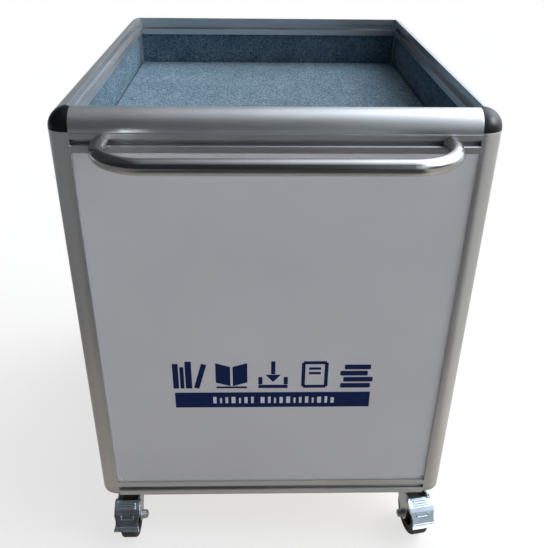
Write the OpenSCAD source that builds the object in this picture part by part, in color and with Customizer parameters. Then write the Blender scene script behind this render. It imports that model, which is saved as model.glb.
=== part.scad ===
/* [Frame] */
// Width of the frame across its outer faces
frame_w = 560; // [500:5:640]
// Depth of the frame across its outer faces
frame_d = 660; // [580:5:760]
// Height of the frame above the castors
frame_h = 642; // [600:2:760]
// Outer radius of the curved profiles, which is also the rails' depth
profile_r = 25; // [24:0.5:30]
// Flat width of the posts and corner caps beyond their curve
post_lip = 4.5; // [3:0.5:6]
// Thickness of the profiles' outer skin
skin_t = 2; // [1.5:0.25:2.5]
// Thickness of the profiles' inner webs
web_t = 1.5; // [1.2:0.1:1.8]

/* [Top rails] */
// Height of a top rail on its outer face
top_rail_h = 51; // [50:0.5:60]
// Height of a top rail on its inner face
inner_face_h = 31; // [30:0.5:33]
// Distance from the top edge down to the groove of the inner face
inner_groove_top = 10; // [8:0.5:11]
// Height of the groove in the inner face
inner_groove_h = 10.4; // [8:0.2:10.8]
// Depth of the groove in the inner face
inner_groove_d = 9; // [6:0.5:10]
// Width of the thin seam under the curved face, twice its depth
seam_w = 1.4; // [0.6:0.1:1.6]

/* [Outer slots] */
// Drop from the top edge to the middle of the top rail's outer slot
slot_drop = 38; // [37:0.5:39]
// Height of the slots' mouth
slot_mouth = 7; // [6.5:0.25:8]
// Thickness of the lips beside the mouth
slot_lip_t = 2.2; // [1.8:0.1:2.6]
// Height of the cavity behind the lips
slot_cavity_h = 12.8; // [12.6:0.1:13.4]
// Depth of the cavity behind the lips
slot_cavity_d = 7; // [6:0.25:7.5]
// Bevel at the edges of the mouth
mouth_bevel = 1.1; // [0.5:0.1:1.4]

/* [Bottom rails and feet] */
// Height of a bottom rail
bottom_rail_h = 28; // [27:0.5:32]
// Height of the end pieces under the posts
foot_h = 10; // [8:0.5:18]
// Rounding of their lower edge
foot_round = 6; // [3:0.5:7]
// Width of the ledge that carries the base board
ledge_w = 4; // [3:0.25:4.5]
// Thickness of that ledge
ledge_t = 2; // [1.5:0.25:3]
// Thickness of the base board
base_t = 15; // [12:0.5:16]

/* [Panels and lining] */
// Thickness of the white panels
panel_t = 15; // [14:0.25:15.2]
// Setback of the panels behind the profiles' outer faces
panel_recess = 3; // [2.6:0.1:3.2]
// Depth to which the panels enter the profiles
panel_seat = 5; // [4:0.25:5]
// Total play of a panel in its groove
panel_play = 0.3; // [0.2:0.05:0.5]
// Thickness of the felt on the walls
wall_felt_t = 3.8; // [3:0.1:4.2]
// Diameter of the heads of the small panel screws
panel_screw_d = 3.6; // [3:0.1:5]

/* [Push handle] */
// Distance between the middles of the handle's two ends
handle_span = 426; // [340:2:440]
// Distance of the grip's axis in front of the frame
handle_reach = 80; // [72:1:95]
// Outer diameter of the handle's tube
handle_d = 20; // [18:0.5:24]
// Wall of the handle's tube
handle_wall = 1.5; // [1.2:0.1:2]
// Radius of the two bends on the tube's axis
handle_bend_r = 62; // [40:1:66]
// Length of the threaded plug in each end of the tube
plug_l = 14; // [10:0.5:16]

/* [Platform] */
// Drop from the rim to the felt of the empty platform
platform_drop = 85; // [76:1:110]
// Thickness of the platform's plywood
platform_t = 12; // [9:0.5:15]
// Thickness of the felt on the platform
floor_felt_t = 4; // [3:0.1:6]
// Gap between the platform and the felt of the walls
platform_gap = 4; // [3.6:0.1:6]
// Gap between the corner guides and the felt of the walls
guide_play = 1; // [0.6:0.1:1.4]
// Gap between the corner guides and the posts
nose_gap = 0.5; // [0.4:0.1:0.8]
// Height of the corner guides
guide_h = 40; // [30:1:60]
// Length of each arm of a corner guide
guide_l = 34; // [24:1:44]
// Thickness of the arms of a corner guide
guide_t = 9; // [6:0.5:12]
// Thickness of the angle stops on the posts
stop_t = 1.8; // [1.2:0.1:2.2]
// Height of the angle stops on the posts
stop_h = 10; // [8:0.5:13]

/* [Springs] */
// Mean diameter of the coils
coil_d = 105; // [90:1:120]
// Diameter of the spring wire
wire_d = 5; // [4:0.25:6]
// Number of coils, the two closed end coils included
coil_turns = 14; // [8:1:16]
// Distance from the frame's outer faces to the middle of the springs
spring_in = 150; // [120:5:180]
// Height of the rim of the spring cups
cup_h = 12; // [8:0.5:16]

/* [Castors] */
// Height from the floor to the underside of the frame
castor_h = 104; // [102:0.5:112]
// Diameter of the wheels
wheel_d = 75; // [70:0.5:76]
// Width of the tyres
tyre_w = 27; // [22:0.5:30]
// Diameter on which the tyre sits
rim_d = 56; // [50:0.5:60]
// Offset of the wheel's axle behind the swivel axis
castor_trail = 38; // [34:0.5:40]
// Distance from a front or rear rail to the nearer bolts of a castor
bolt_in = 8; // [7.75:0.25:12]
// Angle by which the left front castor points outwards
left_yaw = 0; // [0:1:20]
// Angle by which the right front castor points outwards
right_yaw = 10; // [0:1:20]
// Side of the square top plate
plate_size = 62; // [60:1:66]
// Thickness of the top plate
plate_t = 2.5; // [2:0.1:3]
// Spacing of the plate's bolts
bolt_spacing = 46; // [45:0.5:47]
// Diameter of the plate's bolts
bolt_d = 6; // [5:0.25:6]
// Diameter of the king pin
king_d = 10; // [8:0.25:12]
// Diameter of the axle
axle_d = 8; // [6:0.25:9]
// Distance between the inner faces of the yoke's legs
leg_gap = 32; // [31:0.5:36]
// Thickness of the yoke's steel
yoke_t = 2.5; // [2:0.1:3]
// Outer diameter of the yoke's bearing cup
cup_d = 47; // [46:0.5:50]

/* [Brake pedals] */
// Thickness of the pedal's steel
pedal_t = 2; // [1.5:0.1:2.4]
// Diameter of the pedal's cross pin
pin_d = 5; // [4:0.25:5.5]
// Height of the pin above the axle
pin_up = 41.5; // [41:0.1:43]
// Distance of the pin in front of the axle
pin_front = 11; // [10:0.25:12]

/* [Fits] */
// Radial clearance of a turning fit
running_fit = 0.08; // [0.05:0.01:0.1]
// Gap between pieces that lie against each other
seat_gap = 0.3; // [0.2:0.05:0.4]
// Radial clearance of a fixed plug or ring
snug_fit = 0.05; // [0.02:0.01:0.08]
// Radial clearance of a bolt in its hole
bolt_play = 0.2; // [0.1:0.05:0.3]
// Clearance of a slot bolt on each side in its slot
slot_play = 0.5; // [0.3:0.1:0.8]

/* [Hidden] */
$fn = 64;
fine = 128;
eps = 0.01;
cut = 1;

// The frame stands behind the origin by half the handle's overhang, so that the
// origin is the middle of the whole footprint, handle included, on the floor
handle_overhang = handle_reach + handle_d / 2;
frame_y = handle_overhang / 2;

// Each corner has its name and its direction seen from the middle
CORNERS = [
    ["front_left", -1, -1],
    ["front_right", 1, -1],
    ["rear_left", -1, 1],
    ["rear_right", 1, 1]
];
// Each side has its name and the turn that brings it from the front
SIDES = [["front", 0], ["right", 90], ["rear", 180], ["left", 270]];
FRONT_CORNERS = [for (c = CORNERS) if (c[2] < 0) c];
REAR_CORNERS = [for (c = CORNERS) if (c[2] > 0) c];

// Width of a post or corner cap along each side
corner_w = profile_r + post_lip;

// Depths measured inwards from a profile's outer face
panel_out = panel_recess + panel_play / 2;
panel_in = panel_out + panel_t;
groove_w = panel_t + panel_play;
inner_leg_t = web_t;
leg_in = panel_recess + groove_w + inner_leg_t;
felt_in = panel_in + wall_felt_t;
cavity_in = slot_lip_t + slot_cavity_d;
cavity_bevel = 2.5;

// Heights above the underside of the frame
post_top = frame_h - profile_r;
slot_z = frame_h - slot_drop;
bottom_slot_z = bottom_rail_h / 2;
shoulder_z = bottom_rail_h - panel_seat - web_t;
platform_top = frame_h - platform_drop;
board_top = platform_top - floor_felt_t;
board_under = board_top - platform_t;

// The hollow of a post and the legs that plug into the hollows
post_hollow = min(corner_w - panel_seat, profile_r) - web_t;
leg_size = 8;
leg_l = 24;
leg_at = post_hollow - leg_size - seat_gap;
rail_hollow_in = profile_r - inner_groove_d - web_t;
inner_groove_low = inner_groove_top + inner_groove_h;

// Platform outline, measured inwards from the frame's outer faces
platform_in = felt_in + platform_gap;
guide_in = felt_in + guide_play;
stop_in = felt_in + seat_gap;
stop_out = profile_r + snug_fit + stop_t;
notch_in = stop_out + 2;
felt_over = 1;

// Screws that pin a panel's lower corners to the bottom rail's groove
screw_head_t = 1.2;
screw_core_d = panel_screw_d - 1.4;
screw_l = 8.5;
screw_side = corner_w + 4;
screw_z = bottom_rail_h + 6;

// Spring seats
cup_floor = 2.5;
cup_rim_t = 2;
cup_rim_r = (coil_d + wire_d) / 2 + 2;
cup_boss_r = (coil_d - wire_d) / 2 - 5;
cup_boss_t = 3;
cup_boss_h = 0.8 * cup_h;
spring_low = base_t + cup_floor + seat_gap;
spring_high = board_under - cup_floor - seat_gap;
rings_per_turn = 8;
wire_sides = 6;
end_pitch = wire_d + 0.8;

// Castor places: the outer bolts stand in the middle of the side rails' hollows
castor_in_x = (cavity_in + profile_r + bolt_spacing) / 2;
castor_in_y = profile_r + bolt_in + bolt_spacing / 2;

// Castor heights, measured down from the frame's underside
wheel_r = wheel_d / 2;
axle_z = wheel_r - castor_h;
race_in_r = 11;
race_out_r = 19.6;
race_h = 4;
race_bevel = 2;
cup_r = cup_d / 2;
cup_wall = 2.1;
cup_bevel = 3;
cup_top = -plate_t - seat_gap;
cup_floor_top = -plate_t - race_h - seat_gap;
cup_floor_t = 3;
cup_under = cup_floor_top - cup_floor_t;
king_head_r = king_d / 2 + 4;
king_head_t = 3;
king_head_bevel = 1.5;
plate_round = 6;
leg_out = leg_gap / 2 + yoke_t;
leg_top = -22;
leg_band = 4;
leg_front = castor_trail + 2;
leg_back = 4;
axle_boss_r = axle_d / 2 + 7;
pin_ear_r = pin_d / 2 + 2.5;
hub_boss_r = axle_d / 2 + 5;
hub_l = leg_gap - 2 * seat_gap;
hub_web_t = 6;
hub_hole_r = 4;
hub_holes = 6;
rim_t = 5;
rim_step = 1.5;
rim_play = 2 * snug_fit;
tyre_edge_r = min(4.5, (wheel_r - rim_d / 2) / 2);
bolt_head_t = 4;
nut_t = 5;
thread_past = 2;
axle_head_t = 4.5;
axle_nut_t = 6.5;
axle_nut_collar_t = 2.5;
pin_head_r = pin_d / 2 + 1.3;
pin_head_t = 1;

// The pedal's side view, in the castor's own frame: y forwards is negative
pin_y = -castor_trail - pin_front;
pin_z = axle_z + pin_up;
pedal_in = leg_out + seat_gap;
pedal_out = pedal_in + pedal_t;
pedal_line = [
    [pin_y - 5.5, pin_z + 5],
    [pin_y - 16, pin_z - 1.5],
    [pin_y - 21, pin_z - 7],
    [pin_y - 31.5, pin_z - 22],
    [pin_y - 34, pin_z - 25],
    [pin_y - 38, pin_z - 28]
];
pedal_ear_r = pin_ear_r + 1;
shoe_at = [pin_y - 21.5, pin_z - 11.2];

// Radius over the corners of a hex nut or head for a bolt of diameter d
function hex_r(d) = 0.95 * d;
function side_length(side) = side[1] % 180 == 0 ? frame_w : frame_d;
function side_reach(side) = side[1] % 180 == 0 ? frame_d / 2 : frame_w / 2;
function castor_yaw(corner) =
    corner[2] > 0 ? 0 : corner[1] < 0 ? -left_yaw : right_yaw;
function castor_spot(corner) = [
    corner[1] * (frame_w / 2 - castor_in_x),
    corner[2] * (frame_d / 2 - castor_in_y)
];

// The frame's own space: its middle, with z = 0 at its underside
module in_frame() {
    translate([0, frame_y, castor_h]) children();
}

// A side's space: x along the side, y inwards from its outer face
module on_side(side) {
    in_frame() rotate(side[1]) translate([0, -side_reach(side), 0]) children();
}

// A corner's space: x and y inwards from the outer corner
module at_corner(corner) {
    in_frame()
        translate([corner[1] * frame_w / 2, corner[2] * frame_d / 2, 0])
            mirror([corner[1] > 0 ? 1 : 0, 0, 0])
                mirror([0, corner[2] > 0 ? 1 : 0, 0])
                    children();
}

// Pulls a section along a side: its x points inwards and its y upwards
module pull_along(length) {
    translate([-length / 2, 0, 0])
        rotate([90, 0, 90])
            linear_extrude(length) children();
}

module rounded_square(size, r) {
    square([size - 2 * r, size], center = true);
    square([size, size - 2 * r], center = true);
    for (x = [-1, 1], y = [-1, 1])
        translate([x * (size / 2 - r), y * (size / 2 - r)]) circle(r);
}

// A square area whose outer corner is a quarter circle about its inner corner
module quarter_disc(r, centre) {
    intersection() {
        translate([centre, centre]) circle(r, $fn = fine);
        square(centre);
    }
}

// Section of a slot with a bevelled mouth, open towards x = 0, centred on y = 0
module slot_section() {
    m = slot_mouth / 2;
    c = slot_cavity_h / 2;
    half = [
        [-cut, m + mouth_bevel + cut],
        [mouth_bevel, m],
        [slot_lip_t, m],
        [slot_lip_t, c],
        [cavity_in - cavity_bevel, c],
        [cavity_in, c - cavity_bevel]
    ];
    flipped = [for (i = [len(half) - 1 : -1 : 0]) [half[i][0], -half[i][1]]];
    polygon(concat(half, flipped));
}

// Section of a post, from its outer corner at the origin
module post_section() {
    difference() {
        union() {
            quarter_disc(profile_r, profile_r);
            translate([profile_r, 0]) square([post_lip, leg_in]);
            translate([0, profile_r]) square([leg_in, post_lip]);
        }
        intersection() {
            quarter_disc(profile_r - skin_t, profile_r);
            square(post_hollow);
        }
        translate([corner_w - panel_seat, panel_recess])
            square([panel_seat + cut, groove_w]);
        translate([panel_recess, corner_w - panel_seat])
            square([groove_w, panel_seat + cut]);
    }
}

// The area inside a top rail's curved skin, from the rail's top outer corner
module top_rail_inside() {
    translate([profile_r, -profile_r]) circle(profile_r - skin_t, $fn = fine);
    translate([skin_t, -top_rail_h]) square([profile_r, top_rail_h - profile_r]);
}

// Section of a top rail: x inwards, y up, the origin level with the rim
module top_rail_section() {
    strip_top = inner_groove_low + web_t;
    strip_low = slot_drop - slot_cavity_h / 2 - web_t;
    difference() {
        union() {
            intersection() {
                translate([profile_r, -profile_r]) circle(profile_r, $fn = fine);
                translate([0, -profile_r]) square(profile_r);
            }
            translate([0, -inner_face_h]) square([profile_r, inner_face_h - profile_r]);
            translate([0, -top_rail_h]) square([leg_in, top_rail_h - inner_face_h]);
        }
        // Groove of the inner face
        translate([profile_r - inner_groove_d, -inner_groove_low])
            square([inner_groove_d + cut, inner_groove_h]);
        // Seam under the curved face
        translate([0, -profile_r - seam_w])
            rotate(45) square(seam_w / sqrt(2), center = true);
        translate([0, -slot_drop]) slot_section();
        // Groove for the panel
        translate([panel_recess, -top_rail_h - cut])
            square([groove_w, panel_seat + cut]);
        // Upper hollow, which takes the corner cap's leg
        intersection() {
            top_rail_inside();
            translate([0, -inner_groove_low]) square([rail_hollow_in, inner_groove_low]);
        }
        // Lower hollow behind the slot
        intersection() {
            top_rail_inside();
            translate([0, -strip_low])
                square([profile_r - web_t, strip_low - strip_top]);
        }
        translate([cavity_in + web_t, -top_rail_h + panel_seat + web_t])
            square([
                leg_in - cavity_in - 2 * web_t,
                top_rail_h - panel_seat - web_t - strip_low + eps
            ]);
    }
}

// Section of a bottom rail: x inwards, y up from the frame's underside
module bottom_rail_section() {
    difference() {
        union() {
            square([profile_r, shoulder_z]);
            square([leg_in, bottom_rail_h]);
        }
        translate([0, bottom_slot_z]) slot_section();
        translate([panel_recess, bottom_rail_h - panel_seat])
            square([groove_w, panel_seat + cut]);
        translate([cavity_in + web_t, web_t])
            square([profile_r - cavity_in - 2 * web_t, shoulder_z - 2 * web_t]);
    }
}

// Round holes for the castors' bolts, up to the given height
module castor_bolt_holes(height) {
    for (c = CORNERS)
        translate(castor_spot(c))
            for (x = [-1, 1], y = [-1, 1])
                translate([x * bolt_spacing / 2, y * bolt_spacing / 2, -cut])
                    cylinder(r = bolt_d / 2 + bolt_play, h = height + cut);
}

module top_rail(side) {
    color("silver")
        on_side(side)
            translate([0, 0, frame_h])
                pull_along(side_length(side) - 2 * corner_w) top_rail_section();
}

// Rail with a ledge under the base board, which stops short of the other rails' ledges
module bottom_rail(side) {
    ledge_in = max(corner_w, profile_r + ledge_w + seat_gap);
    color("silver") difference() {
        on_side(side) {
            pull_along(side_length(side) - 2 * corner_w) bottom_rail_section();
            pull_along(side_length(side) - 2 * ledge_in)
                translate([profile_r - eps, 0]) square([ledge_w + eps, ledge_t]);
        }
        in_frame() castor_bolt_holes(2 * web_t);
    }
}

module corner_post(corner) {
    color("silver")
        at_corner(corner)
            translate([0, 0, foot_h])
                linear_extrude(post_top - foot_h) post_section();
}

// Carries a section, drawn inwards and upwards from a rail's outer face, along both lips
module corner_arms() {
    translate([profile_r, 0, 0]) rotate([90, 0, 90]) linear_extrude(post_lip) children();
    mirror([1, -1, 0])
        translate([profile_r, 0, 0]) rotate([90, 0, 90]) linear_extrude(post_lip) children();
}

// Ball corner with a leg for each of the three profiles that meet in it
module corner_cap(corner) {
    at_corner(corner) {
        intersection() {
            translate([profile_r, profile_r, post_top]) sphere(profile_r, $fn = fine);
            translate([0, 0, post_top]) cube(profile_r);
        }
        translate([0, 0, post_top]) corner_arms() intersection() {
            translate([profile_r, 0]) circle(profile_r, $fn = fine);
            square(profile_r);
        }
        translate([leg_at, leg_at, post_top - leg_l])
            cube([leg_size, leg_size, leg_l + eps]);
        leg_z = frame_h - inner_groove_low + seat_gap;
        rail_leg_at = rail_hollow_in - leg_size - seat_gap;
        translate([corner_w - eps, rail_leg_at, leg_z])
            cube([leg_l, leg_size, leg_size]);
        translate([rail_leg_at, corner_w - eps, leg_z])
            cube([leg_size, leg_l, leg_size]);
    }
}

module corner_caps(corners, tint) {
    color(tint) for (c = corners) corner_cap(c);
}

// Section of a foot: x outwards from the post's inner corner, y up
module foot_section() {
    square([profile_r - foot_round, foot_h]);
    translate([profile_r - foot_round, foot_round])
        square([foot_round, foot_h - foot_round]);
    intersection() {
        translate([profile_r - foot_round, foot_round]) circle(foot_round);
        translate([profile_r - foot_round, 0]) square(foot_round);
    }
}

// Rounded end pieces under the posts, each with a leg up into its post and room
// beside it for the castor's outer nut
module post_feet() {
    nut_x = castor_in_x - bolt_spacing / 2;
    nut_y = castor_in_y - bolt_spacing / 2;
    color("silver") for (c = CORNERS) at_corner(c) {
        difference() {
            union() {
                translate([profile_r, profile_r, 0])
                    rotate(180) rotate_extrude(angle = 90, $fn = fine) foot_section();
                corner_arms() translate([profile_r, 0]) mirror([1, 0]) foot_section();
            }
            translate([nut_x, nut_y, -cut])
                cylinder(r = hex_r(bolt_d) + seat_gap, h = foot_h + 2 * cut);
        }
        translate([leg_at, leg_at, foot_h - eps]) cube([leg_size, leg_size, leg_l]);
    }
}

module wall_panel(side) {
    width = side_length(side) - 2 * (corner_w - panel_seat) - panel_play;
    low = bottom_rail_h - panel_seat + panel_play / 2;
    high = frame_h - top_rail_h + panel_seat - panel_play / 2;
    color("white") difference() {
        on_side(side)
            translate([-width / 2, panel_out, low]) cube([width, panel_t, high - low]);
        on_side(side) at_panel_screws(side)
            cylinder(r = screw_core_d / 2 + snug_fit, h = screw_l + seat_gap);
    }
}

// Places a screw's axis, pointing inwards, at both lower corners of a panel
module at_panel_screws(side) {
    for (x = [-1, 1])
        translate([x * (side_length(side) / 2 - screw_side), panel_out - eps, screw_z])
            rotate([-90, 0, 0]) children();
}

module panel_screws() {
    color("dimgray") for (s = SIDES) on_side(s) at_panel_screws(s) {
        translate([0, 0, eps - screw_head_t])
            cylinder(d1 = panel_screw_d - 1, d2 = panel_screw_d, h = screw_head_t);
        cylinder(d = screw_core_d, h = screw_l);
    }
}

// Felt on a wall, lapped over the inner legs of the rails and posts
module wall_felt(side) {
    width = side_length(side) - 2 * profile_r - 2 * seat_gap;
    back = panel_in + snug_fit;
    lap = leg_in + snug_fit;
    high = frame_h - inner_face_h - seat_gap;
    color("slategray") on_side(side) difference() {
        pull_along(width) polygon([
            [felt_in, shoulder_z + seat_gap],
            [felt_in, high],
            [lap, high],
            [lap, frame_h - top_rail_h - snug_fit],
            [back, frame_h - top_rail_h - snug_fit],
            [back, bottom_rail_h + snug_fit],
            [lap, bottom_rail_h + snug_fit],
            [lap, shoulder_z + seat_gap]
        ]);
        for (m = [0, 1]) mirror([m, 0, 0])
            translate([side_length(side) / 2 - corner_w - snug_fit, 0, 0])
                cube([corner_w, lap, frame_h]);
    }
}

// Board with a rebated edge that lies on the rails' ledges
module base_board() {
    color("burlywood") in_frame() difference() {
        union() {
            translate([0, 0, ledge_t])
                inset_plate(profile_r + snug_fit, base_t - ledge_t);
            inset_plate(profile_r + ledge_w + seat_gap, base_t);
        }
        castor_bolt_holes(base_t + cut);
    }
}

// The handle's round bar of radius r: two ends, two bends and the straight grip
module handle_bar(r) {
    straight = handle_reach - handle_bend_r;
    for (m = [0, 1]) mirror([m, 0, 0]) translate([handle_span / 2, 0, 0]) {
        rotate([90, 0, 0]) cylinder(r = r, h = straight);
        translate([-handle_bend_r, -straight, 0])
            rotate([180, 0, 0])
                rotate_extrude(angle = 90, $fn = 96) translate([handle_bend_r, 0]) circle(r);
    }
    translate([handle_bend_r - handle_span / 2, -handle_reach, 0])
        rotate([0, 90, 0]) cylinder(r = r, h = handle_span - 2 * handle_bend_r);
}

module push_handle() {
    color("gainsboro") on_side(SIDES[0]) translate([0, 0, slot_z]) difference() {
        handle_bar(handle_d / 2);
        handle_bar(handle_d / 2 - handle_wall);
    }
}

// A plug in each tube end and the slot bolt that draws it against the rail
module handle_fixings() {
    head_w = slot_cavity_h - 2 * slot_play;
    head_t = 3.5;
    shank_r = slot_mouth / 2 - slot_play;
    color("dimgray") on_side(SIDES[0]) for (x = [-1, 1])
        translate([x * handle_span / 2, 0, slot_z]) {
            rotate([90, 0, 0]) difference() {
                translate([0, 0, snug_fit])
                    cylinder(r = handle_d / 2 - handle_wall - snug_fit, h = plug_l);
                cylinder(r = shank_r + running_fit, h = plug_l + cut);
            }
            translate([-head_w / 2, slot_lip_t + snug_fit, -head_w / 2])
                cube([head_w, head_t, head_w]);
            translate([0, slot_lip_t + cut, 0])
                rotate([90, 0, 0]) cylinder(r = shank_r, h = plug_l);
        }
}

// Rectangle inside the frame, set in from its outer faces
module inset_plate(inset, thickness) {
    w = frame_w - 2 * inset;
    d = frame_d - 2 * inset;
    translate([-w / 2, -d / 2, 0]) cube([w, d, thickness]);
}

// Notches that let the platform's corners pass the stops
module corner_notches(thickness) {
    for (c = CORNERS)
        translate([
            c[1] * (frame_w - notch_in) / 2,
            c[2] * (frame_d - notch_in) / 2,
            thickness / 2
        ]) cube([notch_in, notch_in, thickness + 2 * cut], center = true);
}

module platform_board() {
    color("tan") in_frame() translate([0, 0, board_under]) difference() {
        inset_plate(platform_in, platform_t);
        corner_notches(platform_t);
    }
}

module platform_felt() {
    color("steelblue") in_frame() translate([0, 0, board_top]) difference() {
        inset_plate(platform_in - felt_over, floor_felt_t);
        corner_notches(floor_felt_t);
    }
}

// Angle blocks under the platform, notched to run on the posts' inner corners
module platform_guides() {
    color("whitesmoke") for (c = CORNERS) at_corner(c)
        translate([0, 0, board_under - guide_h]) linear_extrude(guide_h) difference() {
            translate([guide_in, guide_in]) square(guide_l);
            translate([guide_in + guide_t, guide_in + guide_t]) square(guide_l);
            square(profile_r + nose_gap);
        }
}

// Steel angles round the posts' inner corners, just over the guides
module platform_stops() {
    color("dimgray") for (c = CORNERS) at_corner(c)
        translate([0, 0, board_under + seat_gap]) linear_extrude(stop_h) difference() {
            translate([stop_in, stop_in]) square(stop_out - stop_in);
            square(profile_r + snug_fit);
        }
}

// Cup with a rim round the coil and a boss inside it, standing on z = 0
module spring_cup() {
    rotate_extrude() {
        square([cup_rim_r + cup_rim_t, cup_floor]);
        translate([cup_rim_r, 0]) square([cup_rim_t, cup_h]);
        translate([cup_boss_r - cup_boss_t, 0]) square([cup_boss_t, cup_boss_h]);
    }
}

function spring_spot(corner) =
    [corner[1] * (frame_w / 2 - spring_in), corner[2] * (frame_d / 2 - spring_in), 0];

module at_springs() {
    for (c = CORNERS) translate(spring_spot(c)) children();
}

module spring_cups_lower() {
    color("black") in_frame() translate([0, 0, base_t]) at_springs() spring_cup();
}

module spring_cups_upper() {
    color("black") in_frame()
        translate([0, 0, board_under]) mirror([0, 0, 1]) at_springs() spring_cup();
}

// Height of the wire's axis after a number of turns: closed end coils, open middle
function coil_height(turn) =
    let (
        rise = spring_high - spring_low - wire_d,
        open_pitch = (rise - 2 * end_pitch) / (coil_turns - 2),
        t = max(0, min(coil_turns, turn))
    )
    t < 1 ? t * end_pitch
    : t < coil_turns - 1 ? end_pitch + (t - 1) * open_pitch
    : rise - (coil_turns - t) * end_pitch;

function coil_point(turn) = [
    coil_d / 2 * cos(360 * turn),
    coil_d / 2 * sin(360 * turn),
    spring_low + wire_d / 2 + coil_height(turn)
];
function unit(v) = v / norm(v);
function coil_forwards(turn) = unit(coil_point(turn + 0.01) - coil_point(turn - 0.01));

// Wire axis of a spring: each end runs straight for one diameter
coil_count = coil_turns * rings_per_turn;
coil_axis = [
    for (i = [-1 : coil_count + 1])
        let (
            turn = max(0, min(coil_turns, i / rings_per_turn)),
            past = i < 0 ? -wire_d : i > coil_count ? wire_d : 0
        )
        [turn, coil_point(turn) + past * coil_forwards(turn)]
];

// Least distance between the skins of coils at least half a turn apart
coil_gap = min([
    for (i = [1 : coil_count + 1])
        for (j = [i + rings_per_turn / 2 : coil_count + 1])
            norm(coil_axis[i][1] - coil_axis[j][1])
]) - wire_d;
echo(least_gap_between_coils = coil_gap);

function coil_ring(entry) =
    let (
        out = [cos(360 * entry[0]), sin(360 * entry[0]), 0],
        up = unit(cross(coil_forwards(entry[0]), -out))
    )
    [
        for (k = [0 : wire_sides - 1])
            let (a = 360 * k / wire_sides)
            entry[1] + wire_d / 2 * (cos(a) * out + sin(a) * up)
    ];

module coil_spring(corner) {
    rings = [for (entry = coil_axis) coil_ring(entry)];
    last = (len(rings) - 1) * wire_sides;
    sides = [
        for (i = [0 : len(rings) - 2])
            for (k = [0 : wire_sides - 1])
                let (
                    a = i * wire_sides + k,
                    b = i * wire_sides + (k + 1) % wire_sides
                )
                each [[a, a + wire_sides, b], [b, a + wire_sides, b + wire_sides]]
    ];
    ends = [
        for (k = [1 : wire_sides - 2])
            each [[0, k, k + 1], [last, last + k + 1, last + k]]
    ];
    color("dimgray") in_frame()
        translate(spring_spot(corner))
            polyhedron([for (r = rings) each r], concat(sides, ends));
}

// A castor's space: its swivel axis, with z = 0 at the frame's underside
module at_castor(corner) {
    in_frame() translate(castor_spot(corner)) children();
}

module in_yoke(corner) {
    at_castor(corner) rotate(castor_yaw(corner)) children();
}

// Pressed top plate with its ball race, and the king pin riveted in it
module castor_plate(corner) {
    race_top = -plate_t;
    head_top = cup_under - seat_gap;
    color("silver") at_castor(corner) {
        difference() {
            translate([0, 0, -plate_t]) linear_extrude(plate_t)
                rounded_square(plate_size, plate_round);
            for (x = [-1, 1], y = [-1, 1])
                translate([x * bolt_spacing / 2, y * bolt_spacing / 2, -plate_t - cut])
                    cylinder(r = bolt_d / 2 + bolt_play, h = plate_t + 2 * cut);
        }
        rotate_extrude() polygon([
            [race_in_r, race_top + eps],
            [race_in_r + race_bevel, race_top - race_h],
            [race_out_r - race_bevel, race_top - race_h],
            [race_out_r, race_top + eps]
        ]);
        translate([0, 0, head_top - eps]) cylinder(d = king_d, h = -plate_t - head_top + 2 * eps);
        rotate_extrude() polygon([
            [0, head_top],
            [king_head_r, head_top],
            [king_head_r, head_top - king_head_t + king_head_bevel],
            [king_head_r - king_head_bevel, head_top - king_head_t],
            [0, head_top - king_head_t]
        ]);
    }
}

// A hex bolt up through the plate, and its nut on top of what it holds
module castor_bolt(grip) {
    translate([0, 0, -plate_t - bolt_head_t])
        cylinder(r = hex_r(bolt_d), h = bolt_head_t, $fn = 6);
    translate([0, 0, -plate_t - eps])
        cylinder(d = bolt_d, h = plate_t + grip + nut_t + thread_past);
    translate([0, 0, grip + snug_fit]) rotate(30) difference() {
        cylinder(r = hex_r(bolt_d), h = nut_t, $fn = 6);
        translate([0, 0, -cut]) cylinder(r = bolt_d / 2 + snug_fit, h = nut_t + 2 * cut);
    }
}

module castor_bolts() {
    color("gray") for (c = CORNERS) at_castor(c)
        for (x = [-1, 1], y = [-1, 1])
            translate([x * bolt_spacing / 2, y * bolt_spacing / 2, 0])
                castor_bolt(x == c[1] ? web_t : base_t);
}

// Side view of a yoke's leg, with y forwards as the section's x
module leg_outline() {
    hull() {
        translate([-leg_front, leg_top - leg_band]) square([leg_front + leg_back, leg_band]);
        translate([pin_y, pin_z]) circle(pin_ear_r);
        translate([-castor_trail, axle_z]) circle(axle_boss_r);
    }
}

// Cylinder along the castor's x axis, through both legs, at a point of its side view
module cross_bar(at, r, length) {
    translate([-length / 2, at[0], at[1]]) rotate([0, 90, 0]) cylinder(r = r, h = length);
}

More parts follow.
